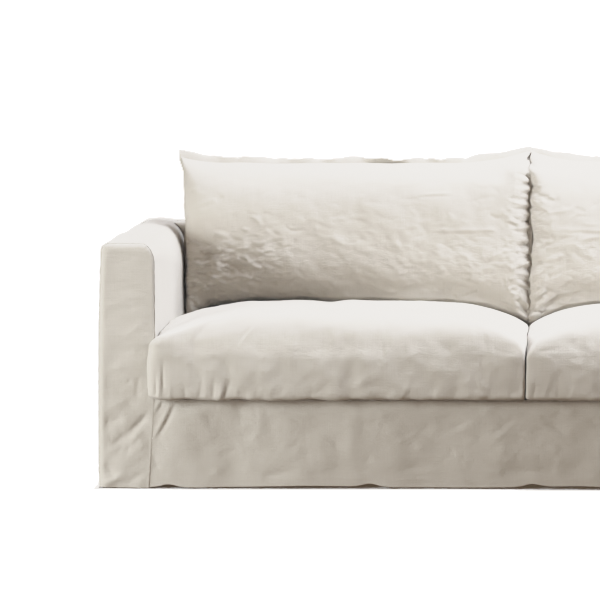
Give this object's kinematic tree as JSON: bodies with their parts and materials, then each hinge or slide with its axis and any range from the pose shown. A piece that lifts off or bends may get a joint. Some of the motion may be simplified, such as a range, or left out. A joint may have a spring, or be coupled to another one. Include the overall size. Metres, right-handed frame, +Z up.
{
  "type": "sofa slipcover with its seat and back cushions",
  "caption": "Loose linen cover for a boxy sofa with skirted front and straight arms, with filled seat cushions and leaning knife-edge back cushions.",
  "frame": {"origin": "middle of the footprint at hem level, where the hem meets the floor", "axes": "+X along the sofa's width to the sitter's left, as seen to the right from the front; +Z up; -Y is the front"},
  "size_m": [2.2854, 0.978, 0.86],
  "materials": {
    "cover_linen": "washed natural linen, matt",
    "cushion_linen": "washed natural linen, matt, softly creased"
  },
  "bodies": {
    "root": {"arm_left_wrap": "cover_linen", "arm_right_wrap": "cover_linen", "arm_left_front": "cover_linen", "arm_right_front": "cover_linen", "apron": "cover_linen", "deck": "cover_linen", "inside_back": "cover_linen", "outside_back": "cover_linen", "seat_cushion_left": "cushion_linen", "seat_cushion_right": "cushion_linen", "back_cushion_left": "cushion_linen", "back_cushion_right": "cushion_linen"}
  },
  "joints": []
}
